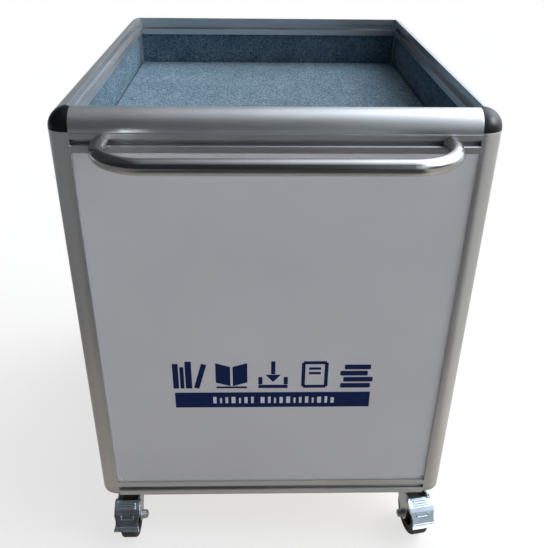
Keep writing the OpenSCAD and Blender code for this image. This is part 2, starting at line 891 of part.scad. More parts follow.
// Pressed yoke: bearing cup, shoulders and two legs
module castor_yoke(corner) {
    axle_at = [-castor_trail, axle_z];
    color("silver") in_yoke(corner) difference() {
        union() {
            rotate_extrude() polygon([
                [0, cup_under],
                [cup_r - cup_bevel, cup_under],
                [cup_r, cup_under + cup_bevel],
                [cup_r, cup_top],
                [cup_r - cup_wall, cup_top],
                [cup_r - cup_wall, cup_floor_top],
                [0, cup_floor_top]
            ]);
            difference() {
                hull() {
                    translate([0, 0, cup_under]) cylinder(r = cup_r - cup_bevel, h = cut, $fn = 32);
                    translate([-leg_out, -leg_front, leg_top - leg_band])
                        cube([2 * leg_out, leg_front + leg_back, leg_band]);
                }
                translate([-leg_gap / 2, -3 * castor_trail, leg_top - leg_band - cut])
                    cube([leg_gap, 6 * castor_trail, cup_under - leg_top + leg_band + cut]);
            }
            for (x = [-leg_out, leg_gap / 2])
                translate([x, 0, 0]) rotate([90, 0, 90]) linear_extrude(yoke_t) leg_outline();
        }
        translate([0, 0, cup_under - 2 * cut])
            cylinder(r = king_d / 2 + running_fit, h = cup_floor_t + 4 * cut);
        cross_bar(axle_at, axle_d / 2 + snug_fit, 2 * leg_out + 2 * cut);
        if (corner[2] < 0)
            cross_bar([pin_y, pin_z], pin_d / 2 + running_fit, 2 * leg_out + 2 * cut);
    }
}

// Axle bolt with its head on the outer side and its nut on the inner side
module castor_axle(corner) {
    nut_top = leg_out + axle_nut_t;
    color("dimgray") in_yoke(corner)
        translate([0, -castor_trail, axle_z])
            mirror([corner[1] > 0 ? 1 : 0, 0, 0]) rotate([0, 90, 0]) {
                translate([0, 0, -leg_out - axle_head_t])
                    cylinder(r = hex_r(axle_d), h = axle_head_t, $fn = 6);
                translate([0, 0, -leg_out - eps])
                    cylinder(d = axle_d, h = leg_out + nut_top + axle_nut_collar_t + 1);
                translate([0, 0, leg_out]) cylinder(r = hex_r(axle_d), h = axle_nut_t, $fn = 6);
                translate([0, 0, nut_top - eps])
                    cylinder(r = hex_r(axle_d) - 1.2, h = axle_nut_collar_t);
            }
}

module wheel_hub(corner) {
    rim_r = rim_d / 2 - rim_play;
    rim_w = tyre_w - 2 * rim_step;
    web_mid_r = (hub_boss_r + rim_r - rim_t) / 2;
    color("black") in_yoke(corner) translate([0, -castor_trail, axle_z]) rotate([0, 90, 0])
        difference() {
            union() {
                translate([0, 0, -hub_l / 2]) cylinder(r = hub_boss_r, h = hub_l);
                translate([0, 0, -hub_web_t / 2]) cylinder(r = rim_r - eps, h = hub_web_t);
                difference() {
                    translate([0, 0, -rim_w / 2]) cylinder(r = rim_r, h = rim_w);
                    translate([0, 0, -rim_w / 2 - cut])
                        cylinder(r = rim_r - rim_t, h = rim_w + 2 * cut);
                }
            }
            translate([0, 0, -hub_l / 2 - cut])
                cylinder(r = axle_d / 2 + running_fit, h = hub_l + 2 * cut);
            for (i = [0 : hub_holes - 1])
                rotate(i * 360 / hub_holes) translate([web_mid_r, 0, -hub_web_t / 2 - cut])
                    cylinder(r = hub_hole_r, h = hub_web_t + 2 * cut);
        }
}

module wheel_tyre(corner) {
    band = wheel_r - rim_d / 2;
    color("dimgray") in_yoke(corner) translate([0, -castor_trail, axle_z]) rotate([0, 90, 0])
        rotate_extrude($fn = 96) {
            translate([rim_d / 2, -tyre_w / 2]) square([band - tyre_edge_r, tyre_w]);
            translate([rim_d / 2, tyre_edge_r - tyre_w / 2])
                square([band, tyre_w - 2 * tyre_edge_r]);
            for (y = [-1, 1])
                translate([wheel_r - tyre_edge_r, y * (tyre_w / 2 - tyre_edge_r)])
                    circle(tyre_edge_r);
        }
}

// Offsets a line to one side by d, with mitred corners
function line_normal(p, q) = let (v = unit(q - p)) [-v[1], v[0]];
function offset_line(line, d) = [
    for (i = [0 : len(line) - 1])
        let (
            n1 = line_normal(line[max(i - 1, 0)], line[max(i, 1)]),
            n2 = line_normal(line[min(i, len(line) - 2)], line[min(i + 1, len(line) - 1)]),
            m = n1 + n2
        )
        line[i] + m * 2 * d / (m * m)
];
function ribbon(line, t) = concat(
    offset_line(line, t / 2),
    [for (p = [len(line) - 1 : -1 : 0]) offset_line(line, -t / 2)[p]]
);

// Point a share of the way along one stretch of the pedal, raised off its middle
function offset_between(i, share, rise) =
    let (
        p = pedal_line[i],
        q = pedal_line[i + 1]
    )
    p + share * (q - p) + rise * -line_normal(p, q);

// Side cheek of a pedal: round the pin, then a strip under the upper plate that tapers
module pedal_cheek() {
    translate([pin_y, pin_z]) circle(pedal_ear_r);
    polygon([
        [pin_y, pin_z + pedal_ear_r],
        pedal_line[0],
        pedal_line[1],
        pedal_line[2],
        pedal_line[2] + [0.5, -2.5],
        [pin_y, pin_z - pedal_ear_r]
    ]);
}

// Plate that follows the pedal's line, drawn in at the sides between the ears and the lip
module pedal_plate() {
    waist_r = 18;
    waist_depth = 2.4;
    difference() {
        translate([-pedal_out, 0, 0]) rotate([90, 0, 90])
            linear_extrude(2 * pedal_out) polygon(ribbon(pedal_line, pedal_t));
        for (x = [-1, 1])
            translate([x * (pedal_out + waist_r - waist_depth), 0, pin_z - 17.5])
                rotate([90, 0, 0]) cylinder(r = waist_r, h = 4 * castor_trail, $fn = fine);
    }
}

// A square area with rounded lower corners, standing on y = 0
module round_bottomed(w, h, r) {
    translate([-w / 2, r]) square([w, h - r]);
    translate([r - w / 2, 0]) square([w - 2 * r, r]);
    for (x = [-1, 1]) translate([x * (w / 2 - r), r]) circle(r);
}

// Raised bead on the plate in the form of a U, open upwards
module pedal_bead() {
    bead_w = 22;
    bead_l = 7;
    bead_band = 1.8;
    bead_round = 2.6;
    bead_rise = 0.8;
    low = offset_between(2, 0.5, pedal_t / 2 - eps);
    run = pedal_line[2] - pedal_line[3];
    translate([0, low[0], low[1]]) rotate([atan2(run[1], run[0]), 0, 0])
        linear_extrude(bead_rise + eps) difference() {
            round_bottomed(bead_w, bead_l, bead_round);
            translate([0, bead_band])
                round_bottomed(bead_w - 2 * bead_band, bead_l, bead_round - bead_band);
        }
}

// Stamped pedal over the wheel's front, with grip ridges, cheeks and its cross pin
module brake_pedal(corner) {
    ridge_r = 1.1;
    ridge_l = 26;
    ridge_steps = [0.2, 0.5, 0.8];
    lip_bar_r = 0.8;
    lip_bar_l = 36;
    shoe_r = 2.2;
    shoe_l = leg_gap - 6;
    color("silver") in_yoke(corner) {
        pedal_plate();
        for (x = [-pedal_out, pedal_in])
            translate([x, 0, 0]) rotate([90, 0, 90]) linear_extrude(pedal_t) pedal_cheek();
        cross_bar([pin_y, pin_z], pin_d / 2, 2 * pedal_out);
        for (x = [-pedal_out - pin_head_t, pedal_out - eps])
            translate([x, pin_y, pin_z])
                rotate([0, 90, 0]) cylinder(r = pin_head_r, h = pin_head_t + eps);
        cross_bar(shoe_at, shoe_r, shoe_l);
        for (s = ridge_steps)
            cross_bar(offset_between(0, s, pedal_t / 2), ridge_r, ridge_l);
        pedal_bead();
        cross_bar(offset_between(3, 0.5, pedal_t / 2), lip_bar_r, lip_bar_l);
    }
}

for (s = SIDES) {
    top_rail(s);
    bottom_rail(s);
    wall_panel(s);
    wall_felt(s);
}
for (c = CORNERS) {
    corner_post(c);
    coil_spring(c);
    castor_plate(c);
    castor_yoke(c);
    castor_axle(c);
    wheel_hub(c);
    wheel_tyre(c);
}
for (c = FRONT_CORNERS)
    brake_pedal(c);
corner_caps(FRONT_CORNERS, "black");  // front_corner_caps
corner_caps(REAR_CORNERS, "silver");  // rear_corner_caps
post_feet();
panel_screws();
base_board();
push_handle();
handle_fixings();
platform_board();
platform_felt();
platform_guides();
platform_stops();
spring_cups_lower();
spring_cups_upper();
castor_bolts();
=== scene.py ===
import math

import bmesh
import bpy
from mathutils import Matrix, Vector, noise


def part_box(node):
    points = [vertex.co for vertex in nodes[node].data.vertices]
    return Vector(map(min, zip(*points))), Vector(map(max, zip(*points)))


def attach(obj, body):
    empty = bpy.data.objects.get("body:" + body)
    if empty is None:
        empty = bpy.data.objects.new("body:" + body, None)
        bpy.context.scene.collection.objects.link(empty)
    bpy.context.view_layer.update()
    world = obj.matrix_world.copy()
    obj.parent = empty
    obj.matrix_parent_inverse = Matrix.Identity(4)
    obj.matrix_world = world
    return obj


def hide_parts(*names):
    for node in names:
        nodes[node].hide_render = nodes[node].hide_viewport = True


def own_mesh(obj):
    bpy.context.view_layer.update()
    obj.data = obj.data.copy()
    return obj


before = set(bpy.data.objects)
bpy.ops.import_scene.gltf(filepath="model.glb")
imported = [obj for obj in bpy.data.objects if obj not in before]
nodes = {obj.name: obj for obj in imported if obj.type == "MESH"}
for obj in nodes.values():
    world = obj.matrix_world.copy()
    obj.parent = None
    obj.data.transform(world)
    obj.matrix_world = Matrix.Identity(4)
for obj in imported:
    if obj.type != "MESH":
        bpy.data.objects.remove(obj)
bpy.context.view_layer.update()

CORNERS = {
    "front_left": (-1, -1),
    "front_right": (1, -1),
    "rear_left": (-1, 1),
    "rear_right": (1, 1),
}


# Node graphs


def add(tree, kind, inputs=None, **settings):
    """A shader node, with its settings and its inputs, which are sockets or values."""
    made = tree.nodes.new("ShaderNode" + kind)
    for name, value in settings.items():
        setattr(made, name, value)
    for name, value in (inputs or {}).items():
        if isinstance(value, bpy.types.NodeSocket):
            tree.links.new(value, made.inputs[name])
        else:
            made.inputs[name].default_value = value
    return made


def math_node(tree, operation, a, b=0.5):
    return add(tree, "Math", {0: a, 1: b}, operation=operation).outputs[0]


def plus(tree, a, b):
    return math_node(tree, "ADD", a, b)


def times(tree, a, b):
    return math_node(tree, "MULTIPLY", a, b)


def place(tree, scale=(1, 1, 1)):
    """Coordinates on the piece itself, in metres times the scale."""
    source = add(tree, "TexCoord").outputs["Object"]
    return add(tree, "Mapping", {"Vector": source, "Scale": scale}).outputs[0]


def noise_fac(tree, vector, scale, detail=4.0, roughness=0.55, distortion=0.0):
    return add(tree, "TexNoise", {
        "Vector": vector,
        "Scale": scale,
        "Detail": detail,
        "Roughness": roughness,
        "Distortion": distortion,
    }).outputs[0]


# The part of its range that a noise mostly fills
MIDDLE = (0.3, 0.7)


def ramp(tree, fac, stops):
    """Colours along a value; each stop is a position and an RGB colour."""
    made = add(tree, "ValToRGB", {"Fac": fac})
    marks = made.color_ramp.elements
    while len(marks) < len(stops):
        marks.new(0.5)
    for mark, (at, colour) in zip(marks, stops):
        mark.position = at
        mark.color = (*colour, 1)
    return made.outputs[0]


def two_tone(tree, fac, dark, light, at=MIDDLE):
    return ramp(tree, fac, [(at[0], dark), (at[1], light)])


def span(tree, value, low, high, at=MIDDLE):
    """The value's range at[0] to at[1] laid over low to high."""
    return add(tree, "MapRange", {
        "Value": value,
        "From Min": at[0],
        "From Max": at[1],
        "To Min": low,
        "To Max": high,
    }).outputs[0]


def blend(tree, fac, a, b):
    """Colour a where fac is 0 and colour b where it is 1."""
    # The node's sockets for colours are its inputs 6 and 7 and its output 2
    inputs = {0: fac, 6: a, 7: b}
    return add(tree, "Mix", inputs, data_type="RGBA", blend_type="MIX").outputs[2]


def bumped(tree, height, distance, strength, edge=0.0):
    """A normal with the height's relief, over edges rounded to the radius edge."""
    inputs = {"Height": height, "Distance": distance, "Strength": strength}
    if edge:
        inputs["Normal"] = add(tree, "Bevel", {"Radius": edge}, samples=6).outputs[0]
    return add(tree, "Bump", inputs).outputs[0]


def empty_tree(owner):
    owner.use_nodes = True
    owner.node_tree.nodes.clear()
    return owner.node_tree


def surface(name, build):
    """A material whose graph build(tree) fills: it returns the socket that is shown."""
    made = bpy.data.materials.new(name)
    tree = empty_tree(made)
    add(tree, "OutputMaterial", {"Surface": build(tree)})
    return made


def material(name, build):
    """A material of the Principled shader, whose inputs build(tree) returns."""
    return surface(name, lambda tree: add(tree, "BsdfPrincipled", build(tree)).outputs[0])


# Materials. Lengths in bumps are metres. The roughness of each look stays on one side of
# 0.274, because the denoiser draws lines where it crosses that value.


def extrusion(axis):
    """Satin anodised aluminium, with die lines along the axis."""
    across = [900.0, 900.0, 900.0]
    across[axis] = 2.0

    def build(tree):
        lines = noise_fac(tree, place(tree, across), 1.0, 3.0, 0.6)
        cloud = noise_fac(tree, place(tree), 9.0, 3.0)
        mixed = plus(tree, times(tree, lines, 0.35), times(tree, cloud, 0.65))
        return {
            "Base Color": two_tone(tree, mixed, (0.57, 0.575, 0.59), (0.65, 0.655, 0.67)),
            "Metallic": 0.90,
            "Roughness": span(tree, cloud, 0.285, 0.335),
            "Normal": bumped(tree, lines, 0.00002, 0.10, edge=0.0007),
        }
    return build


def cap_plastic(tree):
    """Dark moulded ball caps with a dull shine."""
    grain = noise_fac(tree, place(tree), 700.0, 3.0)
    cloud = noise_fac(tree, place(tree), 40.0, 3.0)
    return {
        "Base Color": two_tone(tree, cloud, (0.0035, 0.0040, 0.0045), (0.0060, 0.0066, 0.0072)),
        "Roughness": span(tree, cloud, 0.285, 0.34),
        "Specular IOR Level": 0.36,
        "Normal": bumped(tree, grain, 0.00003, 0.4, edge=0.0006),
    }


def cast_silver(tree):
    """Blasted die casting of the rear caps and the feet."""
    grain = noise_fac(tree, place(tree), 1100.0, 2.0)
    cloud = noise_fac(tree, place(tree), 30.0, 3.0)
    return {
        "Base Color": two_tone(tree, cloud, (0.50, 0.505, 0.51), (0.60, 0.605, 0.61)),
        "Metallic": 1.0,
        "Roughness": span(tree, grain, 0.36, 0.5),
        "Normal": bumped(tree, grain, 0.00005, 0.5, edge=0.0008),
    }


def laminate(tree):
    """Pale laminate with a soft sheen and the faintest clouding."""
    peel = noise_fac(tree, place(tree), 260.0, 3.0)
    cloud = noise_fac(tree, place(tree), 5.0, 4.0)
    return {
        "Base Color": two_tone(tree, cloud, (0.486, 0.486, 0.521), (0.526, 0.526, 0.563),
                               (0.25, 0.75)),
        "Roughness": span(tree, cloud, 0.34, 0.42),
        "Specular IOR Level": 0.45,
        "Normal": bumped(tree, peel, 0.00002, 0.35, edge=0.0005),
    }


def felt(dark, mid, light, fleck):
    """Needle felt: matted fibres in three tones with pale flecks."""
    def build(tree):
        here = place(tree, (1.0, 0.55, 1.0))
        mat = noise_fac(tree, here, 300.0, 3.0, 0.60, 0.3)
        fibres = noise_fac(tree, here, 1100.0, 4.0, 0.7, 0.8)
        clouds = noise_fac(tree, here, 34.0, 4.0, 0.6)
        tone = plus(tree, times(tree, mat, 0.55), times(tree, fibres, 0.30))
        tone = plus(tree, tone, times(tree, clouds, 0.15))
        body = ramp(tree, tone, [(0.36, dark), (0.50, mid), (0.64, light)])
        cells = add(tree, "TexVoronoi", {
            "Vector": here,
            "Scale": 330.0,
            "Randomness": 1.0,
        }, feature="F1")
        speck = math_node(tree, "LESS_THAN", cells.outputs["Distance"], 0.24)
        speck = times(tree, speck, span(tree, clouds, 0.25, 0.85, (0.35, 0.65)))
        relief = plus(tree, times(tree, fibres, 0.5), mat)
        return {
            "Base Color": blend(tree, speck, body, (*fleck, 1)),
            "Roughness": span(tree, fibres, 0.88, 1.0),
            "Specular IOR Level": 0.15,
            "Sheen Weight": 0.08,
            "Sheen Roughness": 0.5,
            "Normal": bumped(tree, relief, 0.0006, 0.8),
        }
    return build


def drawn_steel(tree):
    """Satin stainless tube, brushed round its grip."""
    rings = noise_fac(tree, place(tree, (8, 900, 900)), 1.0, 3.0)
    cloud = noise_fac(tree, place(tree), 22.0, 3.0)
    return {
        "Base Color": two_tone(tree, cloud, (0.56, 0.56, 0.55), (0.62, 0.62, 0.61)),
        "Metallic": 1.0,
        "Roughness": span(tree, rings, 0.13, 0.19),
        "Normal": bumped(tree, rings, 0.00001, 0.4, edge=0.0004),
    }


def zinc(tree):
    """Zinc plate on the small fixings, finely mottled."""
    crystal = noise_fac(tree, place(tree), 420.0, 3.0)
    return {
        "Base Color": two_tone(tree, crystal, (0.40, 0.41, 0.43), (0.55, 0.56, 0.58)),
        "Metallic": 1.0,
        "Roughness": span(tree, crystal, 0.285, 0.40),
        "Normal": bumped(tree, crystal, 0.00003, 0.4, edge=0.0004),
    }


def chrome(tree):
    """Bright plate over pressed steel, a little wavy and smeared."""
    press = noise_fac(tree, place(tree), 90.0, 2.0)
    smear = noise_fac(tree, place(tree), 55.0, 4.0, 0.6, 0.8)
    return {
        # The blue lean of both colours is a painted reflection of a bluish sky
        "Base Color": two_tone(tree, smear, (0.48, 0.54, 0.61), (0.60, 0.665, 0.73)),
        "Metallic": 1.0,
        "Roughness": span(tree, smear, 0.285, 0.36),
        "Normal": bumped(tree, press, 0.00025, 0.30, edge=0.0009),
    }


def black_moulding(tree):
    """Black grained plastic of the wheels and the spring cups."""
    grain = noise_fac(tree, place(tree), 900.0, 3.0)
    cloud = noise_fac(tree, place(tree), 50.0, 3.0)
    return {
        "Base Color": two_tone(tree, cloud, (0.016, 0.016, 0.017), (0.028, 0.028, 0.029)),
        "Roughness": span(tree, cloud, 0.42, 0.55),
        "Normal": bumped(tree, grain, 0.00006, 0.6, edge=0.0006),
    }


def rubber(tree):
    """Grey rubber tread, dusty in places."""
    grain = noise_fac(tree, place(tree), 1400.0, 3.0)
    dust = noise_fac(tree, place(tree), 60.0, 5.0, 0.65)
    return {
        "Base Color": two_tone(tree, dust, (0.020, 0.020, 0.020), (0.050, 0.049, 0.046),
                               (0.35, 0.75)),
        "Roughness": span(tree, dust, 0.55, 0.78),
        "Normal": bumped(tree, grain, 0.00008, 0.7, edge=0.0006),
    }


def plywood(tree):
    """Sealed birch face, with its plies where an edge shows."""
    grain = noise_fac(tree, place(tree, (3, 60, 60)), 4.0, 6.0, 0.62, 1.4)
    pores = noise_fac(tree, place(tree, (20, 700, 700)), 1.0, 3.0)
    face = ramp(tree, grain, [
        (0.28, (0.40, 0.265, 0.145)),
        (0.50, (0.56, 0.41, 0.255)),
        (0.74, (0.66, 0.51, 0.34)),
    ])
    layers = add(tree, "TexWave", {
        "Vector": place(tree),
        "Scale": 66.0,
        "Distortion": 0.6,
        "Detail": 2.0,
    }, wave_type="BANDS", bands_direction="Z")
    plies = two_tone(tree, layers.outputs["Fac"], (0.30, 0.18, 0.09), (0.58, 0.43, 0.27),
                     (0.30, 0.62))
    up = add(tree, "SeparateXYZ", {0: add(tree, "TexCoord").outputs["Normal"]}).outputs[2]
    flat = math_node(tree, "GREATER_THAN", math_node(tree, "ABSOLUTE", up), 0.5)
    return {
        "Base Color": blend(tree, flat, plies, face),
        "Roughness": span(tree, grain, 0.45, 0.62),
        "Normal": bumped(tree, pores, 0.00008, 0.5),
    }


def nylon(tree):
    """Milky nylon of the platform's guides."""
    haze = noise_fac(tree, place(tree), 70.0, 4.0)
    return {
        "Base Color": two_tone(tree, haze, (0.66, 0.65, 0.60), (0.74, 0.73, 0.69)),
        "Roughness": span(tree, haze, 0.42, 0.55),
        "Subsurface Weight": 0.12,
        "Subsurface Scale": 0.004,
        "Normal": bumped(tree, haze, 0.00005, 0.4, edge=0.0008),
    }


def spring_wire(tree):
    """Dark tempered wire under a thin scale."""
    scale = noise_fac(tree, place(tree), 260.0, 4.0, 0.6)
    return {
        "Base Color": two_tone(tree, scale, (0.10, 0.10, 0.105), (0.24, 0.24, 0.25)),
        "Metallic": 1.0,
        "Roughness": span(tree, scale, 0.285, 0.42),
        "Normal": bumped(tree, scale, 0.00004, 0.5),
    }


def ink(dark, light):
    """Screen print: an even film with a slight mottle."""
    def build(tree):
        mottle = noise_fac(tree, place(tree), 420.0, 3.0)
        return {
            "Base Color": two_tone(tree, mottle, dark, light),
            "Roughness": span(tree, mottle, 0.40, 0.52),
            "Specular IOR Level": 0.08,
            "Normal": bumped(tree, mottle, 0.00002, 0.3),
        }
    return build


# The frame's aluminium, by the axis along which a profile was extruded
ALUMINIUM = [material(f"frame_aluminium_{axis}", extrusion(axis)) for axis in range(3)]
NAVY = material("print_navy", ink((0.0024, 0.0110, 0.066), (0.0036, 0.0150, 0.084)))
PALE = material("print_pale", ink((0.50, 0.53, 0.58), (0.60, 0.62, 0.66)))
# The walls' felt is the floor's felt painted darker: painted shade on the walls of the well
SHADED_WALL_FELT = material("wall_felt", felt(
    (0.020, 0.048, 0.078), (0.086, 0.156, 0.218), (0.215, 0.308, 0.382),
    (0.38, 0.46, 0.52)))
FLOOR_FELT = material("floor_felt", felt(
    (0.028, 0.062, 0.097), (0.105, 0.182, 0.250), (0.245, 0.342, 0.420),
    (0.42, 0.50, 0.56)))
# Looks of the CAD's material slots, apart from the frame's
LOOKS = {
    "cap_black": material("cap_black", cap_plastic),
    "panel_white": material("panel_white", laminate),
    "handle_steel": material("handle_steel", drawn_steel),
    "fixing_steel": material("fixing_steel", zinc),
    "castor_chrome": material("castor_chrome", chrome),
    "wheel_black": material("wheel_black", black_moulding),
    "tyre_rubber": material("tyre_rubber", rubber),
    "board_wood": material("board_wood", plywood),
    "guide_nylon": material("guide_nylon", nylon),
    "cup_black": material("cup_black", black_moulding),
    "spring_steel": material("spring_steel", spring_wire),
    "wall_felt": SHADED_WALL_FELT,
    "floor_felt": FLOOR_FELT,
}
SILVER = material("corner_silver", cast_silver)


def look_of(name, slot_name):
    """The material of a CAD node."""
    if slot_name != "frame_aluminium":
        return LOOKS[slot_name]
    if name.startswith("corner_post"):
        return ALUMINIUM[2]
    if "rail" in name:
        return ALUMINIUM[0 if name.endswith(("front", "rear")) else 1]
    return SILVER


for name, piece in nodes.items():
    for index, slot_material in enumerate(piece.data.materials):
        piece.data.materials[index] = look_of(name, slot_material.name.split(".")[0])


# Pieces


def in_scene(name, data):
    made = bpy.data.objects.new(name, data)
    bpy.context.scene.collection.objects.link(made)
    return made


def new_piece(name, mesh, body, look):
    """An object on a body, with its material."""
    made = in_scene(name, mesh)
    mesh.materials.append(look)
    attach(made, body)
    return made


def mesh_from(name, bm, smooth=True):
    mesh = bpy.data.meshes.new(name)
    bmesh.ops.recalc_face_normals(bm, faces=bm.faces[:])
    bm.to_mesh(mesh)
    bm.free()
    for polygon in mesh.polygons:
        polygon.use_smooth = smooth
    return mesh


def bridge(bm, low, high):
    """Quads between two closed rings of vertices."""
    for k in range(len(low)):
        n = (k + 1) % len(low)
        bm.faces.new((low[k], low[n], high[n], high[k]))


# Coil springs under the platform

WIRE_D = 0.005
COIL_D = 0.105
TURNS = 14
STEPS_PER_TURN = 28
WIRE_SIDES = 12
# Rise of a closed end coil, which all but touches the next
END_PITCH = WIRE_D + 0.0008
# Heights between which a spring stands, at rest
SPRING_LOW = 0.1218
SPRING_HIGH = 0.6422
# The springs' distances from the middle of the frame, which lies behind the origin
SPRING_X = 0.130
SPRING_Y = 0.180
FRAME_Y = 0.045


def coil_height(turn):
    rise = SPRING_HIGH - SPRING_LOW - WIRE_D
    pitch = (rise - 2 * END_PITCH) / (TURNS - 2)
    if turn < 1:
        return turn * END_PITCH
    if turn < TURNS - 1:
        return END_PITCH + (turn - 1) * pitch
    return rise - (TURNS - turn) * END_PITCH


def coil_spring(corner, x, y):
    """A helix of round wire with closed end coils, about the axis at x and y."""
    count = TURNS * STEPS_PER_TURN
    line = []
    for i in range(count + 1):
        turn = i / STEPS_PER_TURN
        angle = 2 * math.pi * turn
        line.append(Vector((
            x + COIL_D / 2 * math.cos(angle),
            y + COIL_D / 2 * math.sin(angle),
            SPRING_LOW + WIRE_D / 2 + coil_height(turn),
        )))
    bm = bmesh.new()
    rings = []
    for i, point in enumerate(line):
        ahead = (line[min(i + 1, count)] - line[max(i - 1, 0)]).normalized()
        out = Vector((point.x - x, point.y - y, 0)).normalized()
        up = ahead.cross(-out).normalized()
        ring = []
        for k in range(WIRE_SIDES):
            a = 2 * math.pi * k / WIRE_SIDES
            ring.append(bm.verts.new(
                point + WIRE_D / 2 * (math.cos(a) * out + math.sin(a) * up)))
        rings.append(ring)
    for low, high in zip(rings, rings[1:]):
        bridge(bm, low, high)
    bm.faces.new(rings[0])
    bm.faces.new(rings[-1])
    name = f"spring_coil_{corner}"
    made = new_piece(name, mesh_from(name, bm), "frame", LOOKS["spring_steel"])
    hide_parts(f"spring_{corner}")
    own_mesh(made)


for corner, (sx, sy) in CORNERS.items():
    coil_spring(corner, sx * SPRING_X, FRAME_Y + sy * SPRING_Y)


# Felt linings

FELT_STEP = 0.009
FELT_RELIEF = 0.00022
# The two noises of the relief, each with its scale and its share
FELT_WAVES = ((45, 1.0), (130, 0.6))
# Radius of the felt's soft edges, the cuts that carry their curve, and their drop
FELT_EDGE_R = 0.0012
FELT_EDGE_CUTS = (0.0003, 0.0006, FELT_EDGE_R)
FELT_EDGE_SINK = 0.0007
# How far a vertex of the felt's face may lie from it
FACE_SLACK = 0.00005
# Distance between vertices that are one, and angle between faces that are one
SAME_POINT = 0.00001
SAME_PLANE = 0.02


def cut_at(bm, axis, value):
    """Cuts every face by the plane across the axis at the value."""
    at = Vector((0, 0, 0))
    at[axis] = value
    normal = Vector((0, 0, 0))
    normal[axis] = 1
    bmesh.ops.bisect_plane(
        bm, geom=bm.verts[:] + bm.edges[:] + bm.faces[:], plane_co=at, plane_no=normal)


def felt_sheet(node, face_axis, face_at, inwards, round_edges):
    """The felt's solid cut into a fine mesh, with a soft, uneven face and rounded edges."""
    low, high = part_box(node)
    bm = bmesh.new()
    bm.from_mesh(nodes[node].data)
    bmesh.ops.remove_doubles(bm, verts=bm.verts[:], dist=SAME_POINT)
    bmesh.ops.dissolve_limit(
        bm, angle_limit=SAME_PLANE, verts=bm.verts[:], edges=bm.edges[:])
    for axis in range(3):
        count = int((high[axis] - low[axis]) / FELT_STEP)
        for i in range(1, count + 1):
            cut_at(bm, axis, low[axis] + i * (high[axis] - low[axis]) / (count + 1))
    for axis, side in round_edges:
        for inset in FELT_EDGE_CUTS:
            cut_at(bm, axis, low[axis] + inset if side < 0 else high[axis] - inset)
    for v in bm.verts:
        if abs(v.co[face_axis] - face_at) > FACE_SLACK:
            continue
        wave = sum(share * noise.noise(v.co * scale) for scale, share in FELT_WAVES)
        sink = FELT_RELIEF * (1 + wave)
        for axis, side in round_edges:
            edge = low[axis] if side < 0 else high[axis]
            near = max(0.0, 1 - abs(v.co[axis] - edge) / FELT_EDGE_R)
            sink += FELT_EDGE_SINK * (1 - math.sqrt(max(0.0, 1 - near * near)))
        v.co[face_axis] -= inwards * sink
    bmesh.ops.triangulate(bm, faces=bm.faces[:])
    return mesh_from(node + "_sheet", bm)


# Each wall's axis, and the way from the wall into the well
INNER = {
    "front": (1, 1),
    "rear": (1, -1),
    "left": (0, 1),
    "right": (0, -1),
}
for side, (axis, inwards) in INNER.items():
    node = f"wall_felt_{side}"
    low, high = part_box(node)
    face = high[axis] if inwards > 0 else low[axis]
    along = 1 - axis
    mesh = felt_sheet(node, axis, face, inwards, ((2, 1), (along, -1), (along, 1)))
    lining = new_piece(f"lining_{side}", mesh, "frame", SHADED_WALL_FELT)
    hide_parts(node)

low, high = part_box("platform_felt")
mesh = felt_sheet("platform_felt", 2, high[2], 1, ((0, -1), (0, 1), (1, -1), (1, 1)))
top_felt = new_piece("platform_cover", mesh, "platform", FLOOR_FELT)
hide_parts("platform_felt")


# Printed bar and pictograms on the front panel. Shapes are outlines of (x, z) points,
# counter-clockwise as the front shows them.

PRINT_T = 0.00012
PANEL_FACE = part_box("panel_front")[0].y
# Faces of a rounded corner
CORNER_STEPS = 4


def plate(bm, outline, layer):
    """A thin solid of that outline on the panel, or on the layers under it."""
    base = PANEL_FACE - layer * PRINT_T
    back = [bm.verts.new((x, base, z)) for x, z in outline]
    front = [bm.verts.new((x, base - PRINT_T, z)) for x, z in outline]
    bm.faces.new(front)
    bm.faces.new(list(reversed(back)))
    bridge(bm, back, front)


def rect(x0, z0, x1, z1, r=0.0):
    """A rectangle, with its corners rounded by r."""
    if not r:
        return [(x0, z0), (x1, z0), (x1, z1), (x0, z1)]
    points = []
    for cx, cz, start in ((x1 - r, z0 + r, 270), (x1 - r, z1 - r, 0),
                          (x0 + r, z1 - r, 90), (x0 + r, z0 + r, 180)):
        for step in range(CORNER_STEPS + 1):
            a = math.radians(start + step * 90 / CORNER_STEPS)
            points.append((cx + r * math.cos(a), cz + r * math.sin(a)))
    return points


def stroke(a, b, width):
    """A bar of that width from a to b."""
    ax, az = a
    bx, bz = b
    length = math.hypot(bx - ax, bz - az)
    nx, nz = (az - bz) / length * width / 2, (bx - ax) / length * width / 2
    return [(ax - nx, az - nz), (bx - nx, bz - nz), (bx + nx, bz + nz), (ax + nx, az + nz)]


# The pictograms, each in a cell of that width whose lower left corner is x, z
CELL = 0.050
LINE = 0.0062


def book_row(x, z):
    """Upright spines, the last one leaning."""
    shapes = []
    for left, wide, tall in ((0.000, 0.0085, 0.046), (0.0105, 0.0060, 0.040),
                             (0.0185, 0.0095, 0.050)):
        shapes.append(rect(x + left, z, x + left + wide, z + tall, 0.001))
    shapes.append(stroke((x + 0.0345, z + 0.0005), (x + 0.0465, z + 0.0450), 0.0080))
    return shapes


def open_book(x, z):
    """Two leaves over a line."""
    mid = x + CELL / 2
    shapes = []
    for s in (-1, 1):
        shapes.append([(mid + s * 0.0018, z + 0.004), (mid + s * 0.0018, z + 0.040),
                       (mid + s * 0.0235, z + 0.047), (mid + s * 0.0235, z + 0.011)][::s])
    shapes.append(rect(x + 0.002, z, x + CELL - 0.002, z + 0.0035, 0.001))
    return shapes


